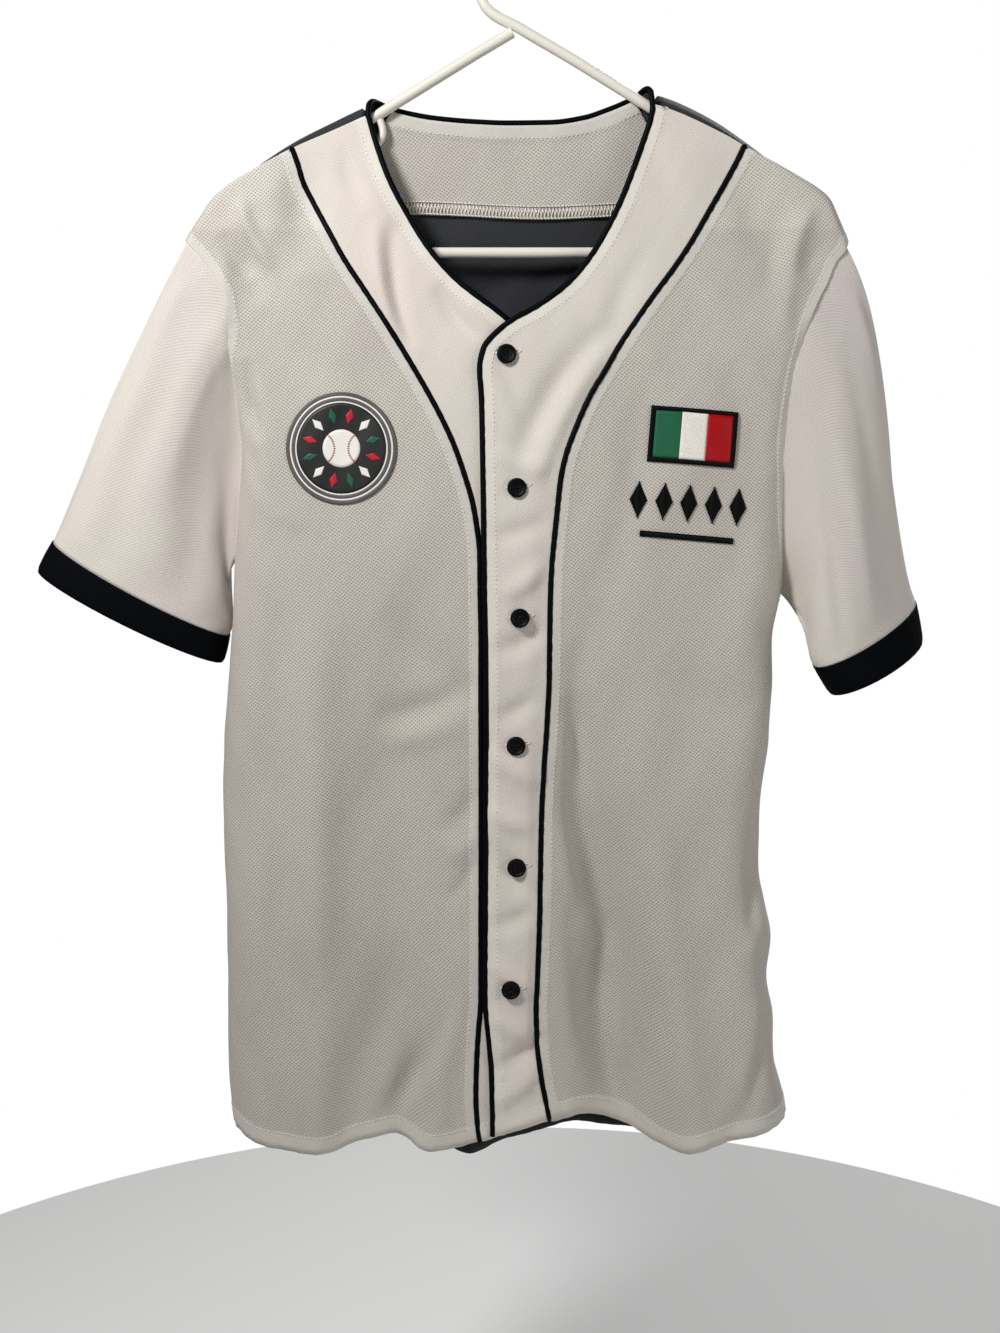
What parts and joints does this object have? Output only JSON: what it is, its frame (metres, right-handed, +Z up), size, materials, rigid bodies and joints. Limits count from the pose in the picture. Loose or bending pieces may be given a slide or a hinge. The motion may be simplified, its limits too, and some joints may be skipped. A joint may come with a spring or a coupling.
{
  "type": "baseball jersey on a hanger",
  "caption": "Short-sleeved baseball jersey with mesh fronts, piped seams, black cuffs and a round badge, buttoned up and hung on a plastic tube hanger.",
  "frame": {"origin": "inside of the top of the hanger's hook, where a rail carries it", "axes": "+Z up, -Y out of the front of the jersey, +X to the right as it is seen from the front"},
  "size_m": [0.675, 0.1213, 0.9134],
  "materials": {
    "panel_mesh": "grey-white honeycomb mesh knit, matt",
    "band_mesh": "warm white mesh knit, doubled, matt",
    "sleeve_mesh": "warm white fine mesh knit, matt",
    "back_knit": "black mesh knit, matt",
    "trim_satin": "black satin-weave trim, low sheen",
    "button_plastic": "black, polished",
    "badge_transfer": "charcoal soft transfer, satin",
    "flag_green": "green twill, satin",
    "flag_white": "white twill, satin",
    "flag_red": "red twill, satin",
    "hanger_plastic": "warm white, smooth moulded"
  },
  "bodies": {
    "root": {"front_panel_left": "panel_mesh", "front_panel_right": "panel_mesh", "front_band_left": "band_mesh", "front_band_right": "band_mesh", "back_panel": "back_knit", "neck_facing": "panel_mesh", "sleeve_left": "sleeve_mesh", "sleeve_right": "sleeve_mesh", "cuff_left": "trim_satin", "cuff_right": "trim_satin", "piping_princess_left": "trim_satin", "piping_princess_right": "trim_satin", "piping_neck_and_placket": "trim_satin", "button_1": "button_plastic", "button_2": "button_plastic", "button_3": "button_plastic", "button_4": "button_plastic", "button_5": "button_plastic", "button_6": "button_plastic", "badge": "badge_transfer", "flag_patch": "trim_satin", "flag_stripe_left": "flag_green", "flag_stripe_middle": "flag_white", "flag_stripe_right": "flag_red", "motif_diamond_1": "trim_satin", "motif_diamond_2": "trim_satin", "motif_diamond_3": "trim_satin", "motif_diamond_4": "trim_satin", "motif_diamond_5": "trim_satin", "motif_bar": "trim_satin", "hanger": "hanger_plastic", "hanger_strap_hook_left": "hanger_plastic", "hanger_strap_hook_right": "hanger_plastic"}
  },
  "joints": []
}
